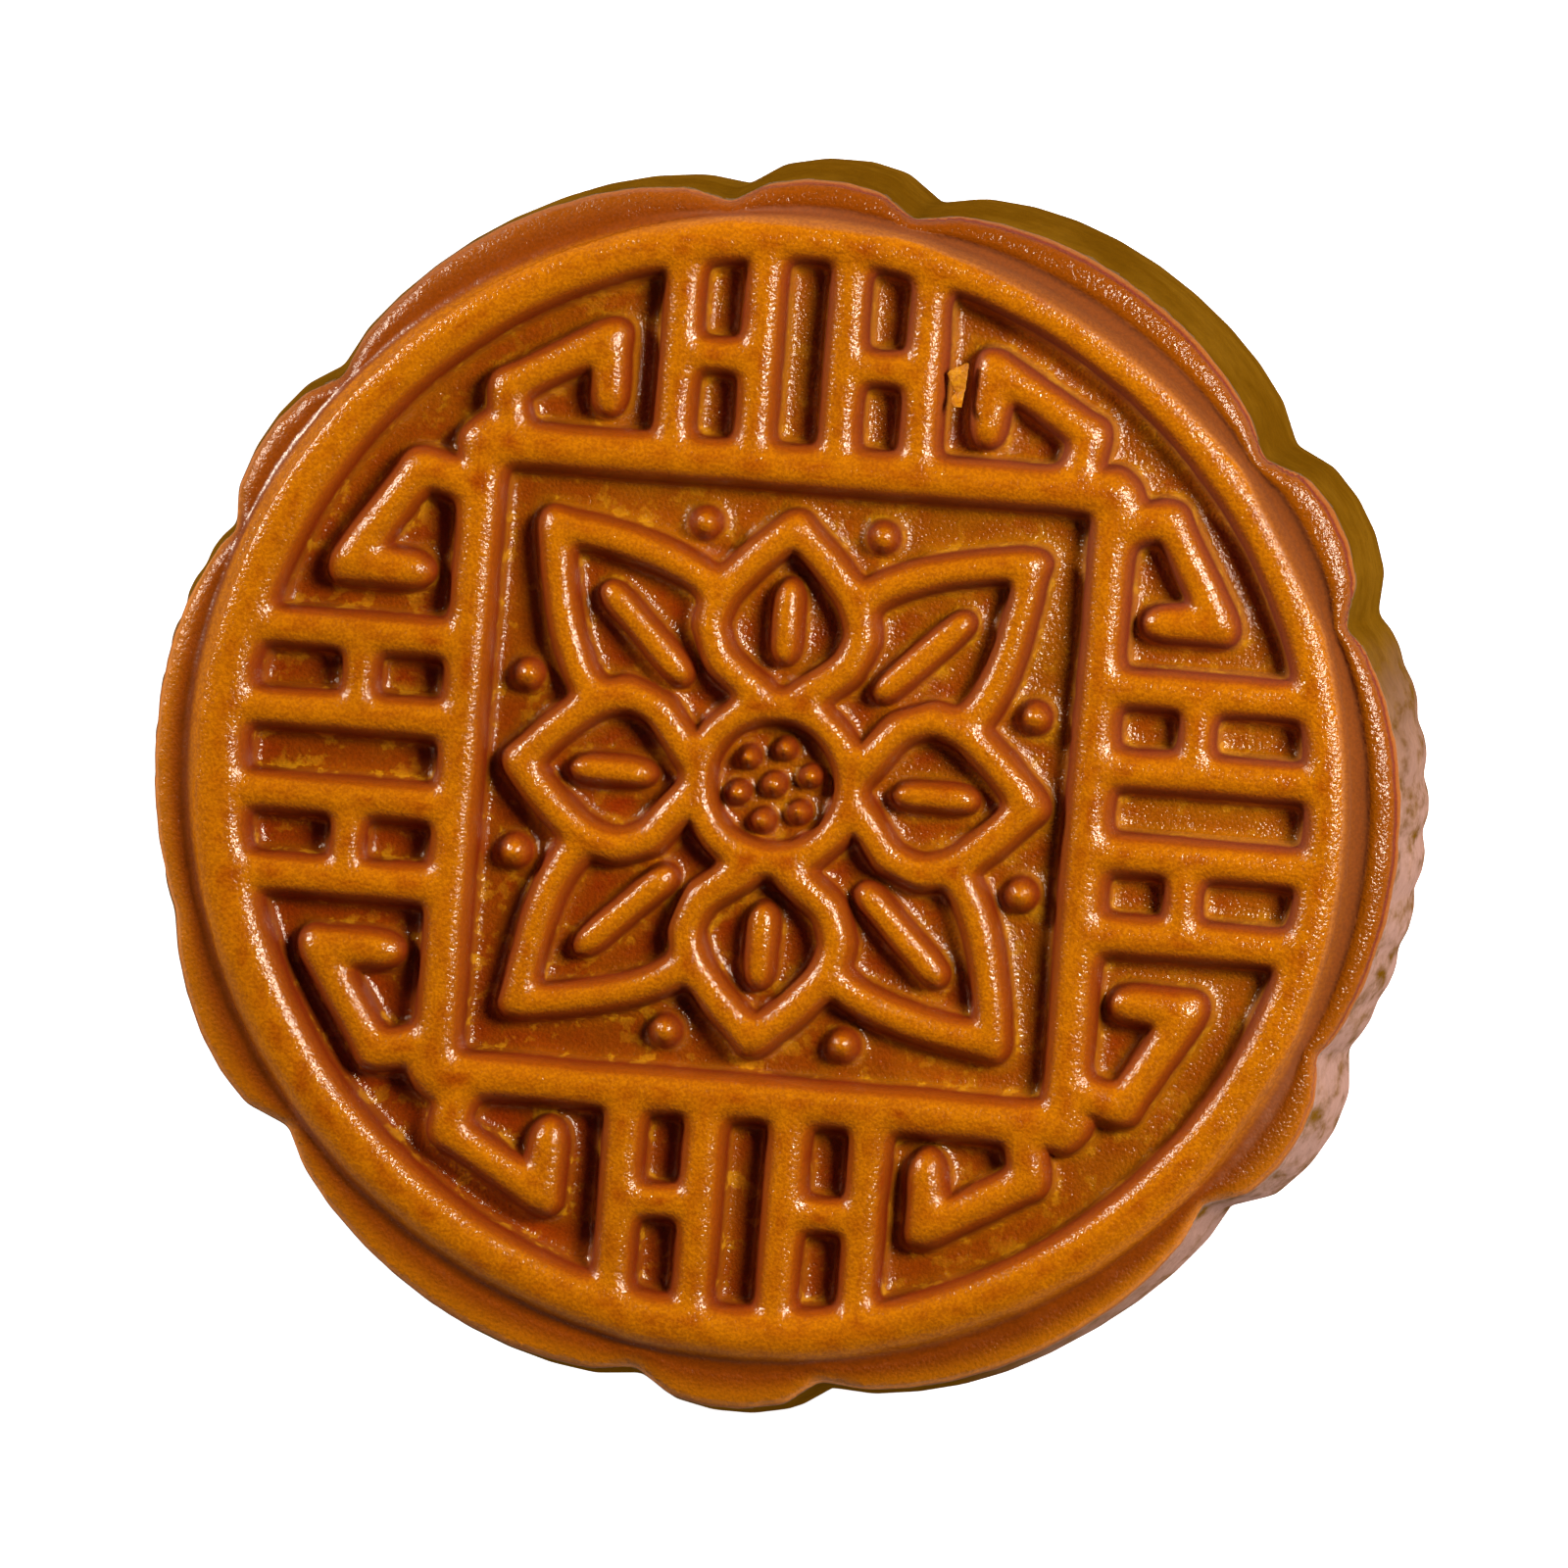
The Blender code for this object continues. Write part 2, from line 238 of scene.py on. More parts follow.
crest = np.percentile(places[raised > SURE_CREST, 2], HIGH_CRESTS) / MM
places[:, 2] += (CREST_HEIGHT - crest) * raised * MM
edges = rim_edges(places)
share = np.clip(rim_share(places, edges), 0.0, 1.0)
near_top = ramp(height, *FALL_STARTS)
swollen_way = np.array((math.cos(SWOLLEN_AZIMUTH), math.sin(SWOLLEN_AZIMUTH)))
swollen = ramp(places[:, :2] @ swollen_way / MM, *SWOLLEN_FROM)
groove_share = GROOVE_ALL_ROUND + (1 - GROOVE_ALL_ROUND) * swollen
fall = RIM_FALL * share**RIM_FALL_POWER
fall += groove_share * RIM_GROOVE * ramp(share, *GROOVE_DROPS) * ramp(share, *GROOVE_ENDS)
fall -= swollen * RIM_SWELL * ramp(share, *SWELL_RISES) * ramp(share, *SWELL_ENDS)
fall += DOME_DROP * np.clip(reach / DOME_REACH, 0, 1) ** 2
places[:, 2] -= near_top * fall * MM
set_vertex_places(cake.data, places)
normals = vertex_normals(cake.data)
depth = HEAVE_DEPTH * rough_field(places, HEAVE_SIZE, 1)
top = np.flatnonzero(places[:, 2] > TOP_HEIGHT * MM)
depth[top] += DIMPLE_DEPTH * rough_field(places[top], DIMPLE_SIZE, 2)
depth[top] += GRIT_DEPTH * rough_field(places[top], GRIT_SIZE, 3)
places = places + normals * (depth * MM)[:, None]
# The foot goes below the box, whose clip then leaves it flat.
places[flat_foot, 2] = WELL_BELOW
low, high = cad_box
for axis in range(3):
    places[:, axis] = np.clip(places[:, axis], low[axis] + BOX_GAP, high[axis] - BOX_GAP)
set_vertex_places(cake.data, places)
thin = cake.modifiers.new("thin", "DECIMATE")
thin.ratio = MOST_FACES / (2 * len(cake.data.polygons))
apply_modifiers(cake)
cake.data.shade_smooth()
places = vertex_places(cake.data)
places[places[:, 2] < FOOT_HEIGHT * MM, 2] = 0.0
set_vertex_places(cake.data, places)


def height_map(places):
    """The height in mm of the cake's top over a square grid: the highest place in each cell."""
    cells = cell_of(places)
    heights = np.full((MAP_SIDE, MAP_SIDE), TOP_HEIGHT)
    np.maximum.at(heights, (cells[:, 0], cells[:, 1]), places[:, 2] / MM)
    return heights


def cell_of(places):
    cells = (places[:, :2] / (MAP_CELL * MM) + MAP_SIDE / 2).astype(int)
    return np.clip(cells, 0, MAP_SIDE - 1)


def blurred(values, cells):
    """The map blurred by running means this many cells wide, three times over."""
    window = np.ones(cells) / cells
    for _ in range(3):
        for axis in range(2):
            values = np.apply_along_axis(np.convolve, axis, values, window, "same")
    return values


def store_on_vertices(mesh, name, values):
    layer = mesh.attributes.new(name, "FLOAT", "POINT")
    layer.data.foreach_set("value", values.astype(np.float32))


# How far each place lies below the cake's top around it: the mask for the painted shade in the
# hollows of the print, which also thins the flecks there.
heights = blurred(height_map(places), SHARP_CELLS)
around = blurred(heights, HOLLOW_CELLS)
cells = cell_of(places)
hollow = (around - heights)[cells[:, 0], cells[:, 1]] / HOLLOW_DEPTH
out = rim_share(places, edges)
upward = vertex_normals(cake.data)[:, 2]
turned_down = (out > DRY_RIM) & (upward < DRY_SLOPE)
dry = (out > 1.0) | (places[:, 2] < DRY_HEIGHT * MM) | turned_down
dry = soften(dry[:, None].astype(float), edge_ends(cake.data), SOFTEN_SHARE, DRY_ROUNDS)[:, 0]
store_on_vertices(cake.data, "rim", out)
store_on_vertices(cake.data, "dry", dry)
hollow = np.clip(hollow, 0.0, 1.0) * (reach_of(places) < PRINT_REACH - 1)
store_on_vertices(cake.data, "hollow", hollow)


# The crust: syrup dough baked to an orange brown and brushed with egg, which dries to a glossy,
# grainy film. It is orange on the crests and yellower on the sunk floor, with painted shade that
# makes it browner on the flanks and redder down the walls and in the hollows.
# The side had no egg wash: it is dry and brown, with a pale painted reflection in streaks on one
# side.
CREST_ORANGE = (0.53, 0.138, 0.0005)
CREST_DEEP = (0.40, 0.088, 0.0004)
FLANK_PAINTED_SHADE = (0.35, 0.064, 0.0003)
WALL_PAINTED_SHADE = (0.20, 0.015, 0.0001)
HOLLOW_PAINTED_SHADE = (0.25, 0.007, 0.0001)
FLOOR_BROWN = (0.28, 0.054, 0.0004)
FLOOR_PAINTED_LIGHT = (0.42, 0.125, 0.001)
FLOOR_PALE = (0.58, 0.22, 0.004)
GRAIN_GOLD = (0.68, 0.225, 0.001)
RIM_PAINTED_SHADE = (0.25, 0.043, 0.0002)
RIM_BROWN = (0.31, 0.068, 0.0004)
RIM_PAINTED_LIGHT = (0.58, 0.160, 0.0006)
LIP_GOLD = (0.33, 0.080, 0.0005)
FOOT_PAINTED_SHADE = (0.20, 0.038, 0.0001)
SIDE_BROWN = (0.11, 0.042, 0.0012)
SIDE_PALE = (0.15, 0.062, 0.003)
SIDE_PAINTED_REFLECTION = (0.40, 0.22, 0.17)
WASH_TINT = (1.0, 0.86, 0.68)
WASH_GLOSS = 0.6

GRAIN_SIZE = 0.21
MOTTLE_SIZE = 1.1
BLOOM_SIZE = 11.0
FLECK_SIZE = 1.3
CRUMB_SIZE = 0.7
SIDE_BLOOM_SIZE = 7.0
SIDE_MOTTLE_SIZE = 0.9
STREAK_SIZE = 1.6
STREAK_SQUEEZE = (1.0, 1.0, 0.25)

# Where each finish starts and ends: heights and distances in mm, the rim's share from the ring's
# foot to the edge, or how far the surface faces up.
STEEP = (0.9, 0.4)
FLANK = (0.97, 0.6)
PRINT_EDGE = (35.4, 34.6)
FLOOR_LEVEL = (32.9, 32.2)
WALL_LEVEL = (34.2, 32.4)
RIM_STARTS = (-0.1, 0.12)
RIM_OUTWARDS = (0.35, 1.0)
FOOT_STARTS, FOOT_ENDS = (-0.3, -0.1), (0.4, 0.25)
LIP_STARTS, LIP_ENDS = (0.92, 0.97), (1.03, 1.0)
LIP_GROOVE_STARTS, LIP_GROOVE_ENDS = (0.84, 0.89), (0.94, 0.9)
LIP_DULLS = (0.84, 0.94)
SIDE_STARTS = (0.36, 0.5)
LIT_RIM = (8.0, 32.0)
LIT_GRAIN = (0.0, 30.0)
OUTER_GRAIN = (31.0, 33.5)
WET_FLOOR = (-5.0, 22.0)
PAINTED_LIGHT_REACH = (-36.0, 26.0)
RIM_DARK_AZIMUTH = math.radians(105.0)
RIM_DARK = (16.0, 36.0)
REFLECTION_AZIMUTH = math.radians(-24.0)
REFLECTION_FROM = (28.0, 39.0)

# How strong each is.
DEEP_SHARE = 0.6
GOLD_SHARE = 0.28
RIM_DARK_SHARE = 0.75
FOOT_SHARE = 0.85
HOLLOW_SHARE = 0.9
REFLECTION_SHARE = 0.85
FLECK_SHARE = (0.9, 0.2)
GRAIN_SHADE = (0.87, 1.06)
BLOOM_SHADE = (0.85, 1.15)
SIDE_SHADE = (0.75, 1.25)
DRY_TO_GLOSS = (0.92, 0.14)
WALL_DULL = 0.25
LIT_WALL_DULL = 0.3
LIP_DULL = 0.8
FOOT_DULL = 0.8
RIM_DULL = 0.1
MOTTLE_DULL = (-0.03, 0.09)
CRUMB_DULL = (0.75, 0.95)
GRAINY = (0.75, 1.35)
WALL_GRAIN = (1.0, 0.25)
WET_GRAIN = (1.0, 1.35)
GRAIN_DEPTH = (0.08, 1.0)
MOTTLE_DEPTH = 0.5
LIP_DEPTH = -0.6
WASH_DEPTH = 0.065 * MM
CRUMB_DEPTH = 0.12 * MM


def add_node(tree, kind, **settings):
    node = tree.nodes.new("ShaderNode" + kind)
    for name, value in settings.items():
        setattr(node, name, value)
    return node


def feed(tree, node, values):
    """Sets a node's inputs by name or number: a socket is linked, anything else is a value."""
    for key, value in values.items():
        if isinstance(value, bpy.types.NodeSocket):
            tree.links.new(value, node.inputs[key])
        else:
            node.inputs[key].default_value = value
    return node


def math_node(tree, operation, *values):
    node = add_node(tree, "Math", operation=operation)
    feed(tree, node, dict(enumerate(values)))
    return node.outputs[0]


def times(tree, first, second):
    return math_node(tree, "MULTIPLY", first, second)


def plus(tree, first, second):
    return math_node(tree, "ADD", first, second)


def vector_node(tree, operation, values):
    return feed(tree, add_node(tree, "VectorMath", operation=operation), values)


def ease(tree, value, low, high):
    """0 at low and 1 at high, easing in and out between them."""
    if low > high:
        return math_node(tree, "SUBTRACT", 1.0, ease(tree, value, high, low))
    node = add_node(tree, "MapRange", interpolation_type="SMOOTHSTEP")
    feed(tree, node, {"Value": value, "From Min": low, "From Max": high})
    return node.outputs[0]


def band(tree, value, starts, ends):
    """1 between the two, easing in where it starts and out where it ends."""
    return times(tree, ease(tree, value, *starts), ease(tree, value, *ends))


def spread(tree, value, low, high):
    """Turns a value from 0 to 1 into one from low to high."""
    node = add_node(tree, "MapRange")
    feed(tree, node, {"Value": value, "To Min": low, "To Max": high})
    return node.outputs[0]


def noise_at(tree, vector, size, detail=2.0, roughness=0.5):
    """Noise with lumps of about this size, in the units of its vector."""
    node = add_node(tree, "TexNoise")
    feed(tree, node, {
        "Vector": vector,
        "Scale": 1.0 / size,
        "Detail": detail,
        "Roughness": roughness,
    })
    return node.outputs[0]


def blend_colours(tree, share, first, second):
    node = add_node(tree, "Mix", data_type="RGBA")
    feed(tree, node, {0: share, 6: colour(first), 7: colour(second)})
    return node.outputs[2]


def colour(value):
    return (*value, 1.0) if isinstance(value, tuple) else value


def reach_along(tree, spot, azimuth):
    """How far a place lies from the middle towards an azimuth, in mm."""
    way = (math.cos(azimuth), math.sin(azimuth), 0.0)
    return vector_node(tree, "DOT_PRODUCT", {0: spot, 1: way}).outputs["Value"]


def place_in_mm(tree, where):
    values = {0: where.outputs["Object"], "Scale": 1.0 / MM}
    return vector_node(tree, "SCALE", values).outputs[0]


def egg_grain():
    """The fine grain of dried egg wash: a height, and the same grain as a mask from 0 to 1."""
    tree = bpy.data.node_groups.new("egg_grain", "ShaderNodeTree")
    tree.interface.new_socket("Vector", in_out="INPUT", socket_type="NodeSocketVector")
    size = tree.interface.new_socket("Size", in_out="INPUT", socket_type="NodeSocketFloat")
    size.default_value = GRAIN_SIZE
    tree.interface.new_socket("Height", in_out="OUTPUT", socket_type="NodeSocketFloat")
    tree.interface.new_socket("Mask", in_out="OUTPUT", socket_type="NodeSocketFloat")
    start = tree.nodes.new("NodeGroupInput")
    end = tree.nodes.new("NodeGroupOutput")
    per_size = math_node(tree, "DIVIDE", 1.0, start.outputs["Size"])
    scaled = vector_node(tree, "SCALE", {0: start.outputs["Vector"], "Scale": per_size})
    fine = noise_at(tree, scaled.outputs[0], 1.0, 2.0, 0.55)
    cells = add_node(tree, "TexVoronoi")
    feed(tree, cells, {"Vector": scaled.outputs[0], "Scale": 0.8})
    beads = math_node(tree, "SUBTRACT", 0.6, cells.outputs["Distance"])
    total = plus(tree, fine, times(tree, beads, 0.5))
    feed(tree, end, {"Height": total, "Mask": ease(tree, fine, 0.35, 0.65)})
    return tree


def place_group(tree, group, values):
    node = tree.nodes.new("ShaderNodeGroup")
    node.node_tree = group
    return feed(tree, node, values)


def side_colours():
    """The colours of the side: syrup brown, with a pale painted reflection in streaks on one side.
    """
    tree = bpy.data.node_groups.new("side_colours", "ShaderNodeTree")
    tree.interface.new_socket("Vector", in_out="INPUT", socket_type="NodeSocketVector")
    tree.interface.new_socket("Color", in_out="OUTPUT", socket_type="NodeSocketColor")
    start = tree.nodes.new("NodeGroupInput")
    end = tree.nodes.new("NodeGroupOutput")
    spot = start.outputs["Vector"]
    bloom = noise_at(tree, spot, SIDE_BLOOM_SIZE, 3.0, 0.6)
    tone = blend_colours(tree, ease(tree, bloom, 0.35, 0.7), SIDE_BROWN, SIDE_PALE)
    # Painted reflection: a pale pinkish sheen, in upright streaks, on the side facing this azimuth.
    reflecting_side = ease(tree, reach_along(tree, spot, REFLECTION_AZIMUTH), *REFLECTION_FROM)
    squeezed = vector_node(tree, "MULTIPLY", {0: spot, 1: STREAK_SQUEEZE}).outputs[0]
    streak = ease(tree, noise_at(tree, squeezed, STREAK_SIZE, 4.0, 0.6), 0.25, 0.6)
    painted_reflection = times(tree, reflecting_side, streak)
    tone = blend_colours(tree, times(tree, painted_reflection, REFLECTION_SHARE), tone, SIDE_PAINTED_REFLECTION)
    mottle = noise_at(tree, spot, SIDE_MOTTLE_SIZE, 4.0, 0.6)
    toned = vector_node(tree, "SCALE", {0: tone, "Scale": spread(tree, mottle, *SIDE_SHADE)})
    feed(tree, end, {"Color": toned.outputs[0]})
    return tree


side_colours_group = side_colours()
egg_grain_group = egg_grain()
crust = bpy.data.materials.new("baked_crust")
crust.use_nodes = True
tree = crust.node_tree
where = add_node(tree, "TexCoord")
spot = place_in_mm(tree, where)
level = feed(tree, add_node(tree, "SeparateXYZ"), {0: spot}).outputs["Z"]
flattened = vector_node(tree, "MULTIPLY", {0: spot, 1: (1, 1, 0)})
from_middle = vector_node(tree, "LENGTH", {0: flattened.outputs[0]}).outputs["Value"]
facing = feed(tree, add_node(tree, "SeparateXYZ"), {0: where.outputs["Normal"]}).outputs["Z"]
grain = place_group(tree, egg_grain_group, {"Vector": spot, "Size": GRAIN_SIZE})
mottle = noise_at(tree, spot, MOTTLE_SIZE, 4.0, 0.6)
bloom = noise_at(tree, spot, BLOOM_SIZE, 2.0, 0.5)
fleck = noise_at(tree, spot, FLECK_SIZE, 3.0, 0.6)
rim_place = add_node(tree, "Attribute", attribute_name="rim").outputs["Fac"]
dry_place = add_node(tree, "Attribute", attribute_name="dry").outputs["Fac"]
hollow = add_node(tree, "Attribute", attribute_name="hollow").outputs["Fac"]
towards_light = reach_along(tree, spot, SWOLLEN_AZIMUTH)

steep = ease(tree, facing, *STEEP)
inside = ease(tree, from_middle, *PRINT_EDGE)
inside_wall = times(tree, steep, inside)
sunk = times(tree, ease(tree, level, *FLOOR_LEVEL), inside)
on_rim = ease(tree, rim_place, *RIM_STARTS)
lit_rim = ease(tree, towards_light, *LIT_RIM)
ring_foot = band(tree, rim_place, FOOT_STARTS, FOOT_ENDS)
lit_foot = times(tree, ring_foot, lit_rim)
lip = band(tree, rim_place, LIP_STARTS, LIP_ENDS)
lip_groove = times(tree, band(tree, rim_place, LIP_GROOVE_STARTS, LIP_GROOVE_ENDS), lit_rim)
side_share = ease(tree, dry_place, *SIDE_STARTS)

deep = spread(tree, ease(tree, mottle, 0.3, 0.7), 0.0, DEEP_SHARE)
tone = blend_colours(tree, deep, CREST_ORANGE, CREST_DEEP)
tone = blend_colours(tree, times(tree, grain.outputs["Mask"], GOLD_SHARE), tone, GRAIN_GOLD)
# Painted shade: the steep flanks of the print are browner than the crests.
flank = times(tree, ease(tree, facing, *FLANK), inside)
tone = blend_colours(tree, flank, tone, FLANK_PAINTED_SHADE)
# Painted shade: the walls of the print turn redder and darker the deeper they go.
wall_depth = times(tree, ease(tree, level, *WALL_LEVEL), inside_wall)
tone = blend_colours(tree, wall_depth, tone, WALL_PAINTED_SHADE)
# Painted light and shade on the rim: away from the key light it is dark with the ring's painted
# shadow by the ring and painted lit gold towards the edge; towards the light it is brown.
rim_outer = blend_colours(tree, lit_rim, RIM_PAINTED_LIGHT, RIM_BROWN)
rim_inner = blend_colours(tree, lit_rim, RIM_PAINTED_SHADE, RIM_BROWN)
rim_tone = blend_colours(tree, ease(tree, rim_place, *RIM_OUTWARDS), rim_inner, rim_outer)
# Painted shade: the rim is darkened towards this azimuth, at the top of the cake.
painted_top_rim_shade = ease(tree, reach_along(tree, spot, RIM_DARK_AZIMUTH), *RIM_DARK)
rim_tone = blend_colours(tree, times(tree, painted_top_rim_shade, RIM_DARK_SHARE), rim_tone, RIM_PAINTED_SHADE)
tone = blend_colours(tree, on_rim, tone, rim_tone)
# Painted shade: the ring's outer foot is darkened on the side towards the key light.
tone = blend_colours(tree, times(tree, lit_foot, FOOT_SHARE), tone, FOOT_PAINTED_SHADE)
# Painted shade: a dark line in the small groove inside the lip, on the side towards the light.
tone = blend_colours(tree, lip_groove, tone, WALL_PAINTED_SHADE)
tone = blend_colours(tree, lip, tone, LIP_GOLD)
# Painted light: the sunk floor turns from brown to a lit gold towards the key light.
painted_floor_light = ease(tree, towards_light, *PAINTED_LIGHT_REACH)
floor_tone = blend_colours(tree, painted_floor_light, FLOOR_BROWN, FLOOR_PAINTED_LIGHT)
flecked = times(tree, ease(tree, fleck, 0.54, 0.63), spread(tree, hollow, *FLECK_SHARE))
floor_tone = blend_colours(tree, flecked, floor_tone, FLOOR_PALE)
tone = blend_colours(tree, sunk, tone, floor_tone)
# Painted shade: the hollows of the print turn dark red.
tone = blend_colours(tree, times(tree, hollow, HOLLOW_SHARE), tone, HOLLOW_PAINTED_SHADE)
side_tone = place_group(tree, side_colours_group, {"Vector": spot}).outputs[0]
tone = blend_colours(tree, side_share, tone, side_tone)
shade = spread(tree, grain.outputs["Mask"], *GRAIN_SHADE)
shade = times(tree, shade, spread(tree, bloom, *BLOOM_SHADE))
toned = vector_node(tree, "SCALE", {0: tone, "Scale": shade})

glossy = math_node(tree, "SUBTRACT", 1.0, side_share)
smooth_part = math_node(tree, "MAXIMUM", steep, ring_foot)
dull_rim = times(tree, on_rim, math_node(tree, "SUBTRACT", 1.0, lit_rim))
roughness = plus(tree, spread(tree, glossy, *DRY_TO_GLOSS), spread(tree, mottle, *MOTTLE_DULL))
for part, amount in (
    (inside_wall, WALL_DULL),
    (times(tree, smooth_part, lit_rim), LIT_WALL_DULL),
    (ease(tree, rim_place, *LIP_DULLS), LIP_DULL),
    (lit_foot, FOOT_DULL),
    (dull_rim, RIM_DULL),
):
    roughness = plus(tree, roughness, times(tree, part, amount))

outer_part = math_node(tree, "MAXIMUM", ease(tree, from_middle, *OUTER_GRAIN), sunk)
lit_grain = times(tree, ease(tree, towards_light, *LIT_GRAIN), outer_part)
wet_floor = times(tree, sunk, ease(tree, towards_light, *WET_FLOOR))
brushed = times(tree, glossy, spread(tree, smooth_part, *WALL_GRAIN))
brushed = times(tree, brushed, spread(tree, lit_grain, *GRAINY))
brushed = times(tree, brushed, spread(tree, wet_floor, *WET_GRAIN))
relief = times(tree, grain.outputs["Height"], spread(tree, brushed, *GRAIN_DEPTH))
relief = plus(tree, relief, times(tree, mottle, MOTTLE_DEPTH))
relief = plus(tree, relief, times(tree, lip_groove, LIP_DEPTH))
bump = add_node(tree, "Bump")
feed(tree, bump, {"Height": relief, "Distance": WASH_DEPTH, "Strength": 1.0})

feed(tree, tree.nodes["Principled BSDF"], {
    "Base Color": toned.outputs[0],
    "Roughness": roughness,
    "Specular IOR Level": WASH_GLOSS,
    "Specular Tint": colour(WASH_TINT),
    "Normal": bump.outputs[0],
})

dry_side = bpy.data.materials.new("dry_side")
dry_side.use_nodes = True
tree = dry_side.node_tree
spot = place_in_mm(tree, add_node(tree, "TexCoord"))
crumb = noise_at(tree, spot, CRUMB_SIZE, 4.0, 0.6)
bump = add_node(tree, "Bump")
feed(tree, bump, {"Height": crumb, "Distance": CRUMB_DEPTH, "Strength": 1.0})
feed(tree, tree.nodes["Principled BSDF"], {
    "Base Color": place_group(tree, side_colours_group, {"Vector": spot}).outputs[0],
    "Roughness": spread(tree, crumb, *CRUMB_DULL),
    "Specular IOR Level": 0.0,
    "Normal": bump.outputs[0],
})

# The dry side takes each face whose corners all lie on the dry part.
cake.data.materials.clear()
cake.data.materials.append(crust)
cake.data.materials.append(dry_side)
corners = np.empty(len(cake.data.loops), np.int32)
cake.data.loops.foreach_get("vertex_index", corners)
first_corners = np.empty(len(cake.data.polygons), np.int32)
cake.data.polygons.foreach_get("loop_start", first_corners)
on_side = np.minimum.reduceat(dry[corners], first_corners) > SIDE_STARTS[1]
cake.data.polygons.foreach_set("material_index", on_side.astype(np.int32))
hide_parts("mooncake")
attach(cake, "root")


# A loose flake of crust: a torn scrap of the same dough, thin and curled at its foot, that fell on
# the cake after the egg wash had dried and is wedged between a bar of the print and a hook.
FLAKE_WIDTH = 1.35
FLAKE_LENGTH = 2.9
FLAKE_THICK = 0.22
FLAKE_ROWS = (0.0, 0.12, 0.3, 0.72, 1.0)
FLAKE_WIDTHS = (0.34, 0.62, 0.48, 1.0, 0.16)
FLAKE_GRID = (12, 24)
FLAKE_CURL = 0.55
FLAKE_CURLED_PART = 0.3
FLAKE_LEAN = 0.16
FLAKE_RAGGED, FLAKE_RAGGED_SCALE = 0.07, 2.3
FLAKE_NICKED, FLAKE_NICKED_SCALE = 0.07 * 0.6, 6.0
FLAKE_SEED = 7
FLAKE_PLACE = (9.72, 27.05, 34.05)
FLAKE_TURN = math.radians(-4.7)
FLAKE_GOLD = (0.66, 0.24, 0.002)
FLAKE_BROWN = (0.44, 0.12, 0.001)
FLAKE_GRAIN_SIZE = 0.2
FLAKE_GRAIN_DEPTH = 0.06 * MM
FLAKE_MOTTLE_SIZE = 0.5
FLAKE_DULL = (0.35, 0.6)
FLAKE_GLOSS = 0.25

flake_mesh = bpy.data.meshes.new("loose_flake")
bm = bmesh.new()
bmesh.ops.create_grid(bm, x_segments=FLAKE_GRID[0], y_segments=FLAKE_GRID[1], size=0.5)
for vert in bm.verts:
    from_edge, along = 0.5 - vert.co.x, vert.co.y + 0.5
    width = float(np.interp(along, FLAKE_ROWS, FLAKE_WIDTHS))
    curled = max(0.0, FLAKE_CURLED_PART - along) / FLAKE_CURLED_PART
    vert.co = Vector((
        FLAKE_WIDTH * (0.5 - width * from_edge),
        FLAKE_LENGTH * (along - 0.5),
        FLAKE_WIDTH * (FLAKE_CURL * curled**2 - FLAKE_LEAN * from_edge),
    ))
bmesh.ops.solidify(bm, geom=bm.faces[:], thickness=FLAKE_THICK)
axes = {"use_axis_x": True, "use_axis_y": True, "use_axis_z": True}
bmesh.ops.smooth_vert(bm, verts=bm.verts, factor=0.5, **axes)
noise.seed_set(FLAKE_SEED)
for vert in bm.verts:
    ragged = FLAKE_RAGGED * noise.noise_vector(vert.co * FLAKE_RAGGED_SCALE)
    nicked = FLAKE_NICKED * noise.noise_vector(vert.co * FLAKE_NICKED_SCALE)
    vert.co += ragged + nicked
turned = Matrix.Rotation(FLAKE_TURN, 3, "Z")
bmesh.ops.transform(bm, matrix=turned.to_4x4(), verts=bm.verts)
bmesh.ops.translate(bm, vec=Vector(FLAKE_PLACE), verts=bm.verts)
bmesh.ops.scale(bm, vec=Vector((MM, MM, MM)), verts=bm.verts)
bmesh.ops.recalc_face_normals(bm, faces=bm.faces)
bm.to_mesh(flake_mesh)
bm.free()
flake_mesh.shade_smooth()
flake = bpy.data.objects.new("loose_flake", flake_mesh)
bpy.context.scene.collection.objects.link(flake)

flake_crust = bpy.data.materials.new("flake_crust")
flake_crust.use_nodes = True
tree = flake_crust.node_tree
spot = place_in_mm(tree, add_node(tree, "TexCoord"))
grain = place_group(tree, egg_grain_group, {"Vector": spot, "Size": FLAKE_GRAIN_SIZE})
mottle = noise_at(tree, spot, FLAKE_MOTTLE_SIZE, 3.0, 0.6)
browned = ease(tree, mottle, 0.35, 0.65)
bump = add_node(tree, "Bump")
feed(tree, bump, {
    "Height": grain.outputs["Height"],
    "Distance": FLAKE_GRAIN_DEPTH,
    "Strength": 1.0,
})
feed(tree, tree.nodes["Principled BSDF"], {
    "Base Color": blend_colours(tree, browned, FLAKE_GOLD, FLAKE_BROWN),
    "Roughness": spread(tree, mottle, *FLAKE_DULL),
    "Specular IOR Level": FLAKE_GLOSS,
    "Normal": bump.outputs[0],
})
flake_mesh.materials.append(flake_crust)
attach(flake, "root")


# The floor, the lights and the camera of a small studio: a pale table, a soft box at the upper
# right that throws the short shadows in the print, a second one, lower, at the left that lights the
# flanks facing it, and a little light from pale walls.
FLOOR_SIZE = 3.0
KEY_BOX = {"azimuth": 27.0, "polar": 41.0, "away": 0.5, "size": 0.14, "power": 2.8}
SECOND_BOX = {"azimuth": 152.0, "polar": 66.0, "away": 0.7, "size": 0.16, "power": 3.6}
WALLS = 0.08
CEILING = 0.015
WALLS_END = (0.15, 0.55)
TABLE_PALE = (0.9, 0.9, 0.9)
TABLE_ROUGHNESS = 0.8
WHITE = (1.0, 1.0, 1.0)
TABLE_GLOW = 1.0
CAMERA_AWAY = 0.85
CAMERA_TILT = math.radians(5.5)
CAMERA_AZIMUTH = math.radians(27.0)
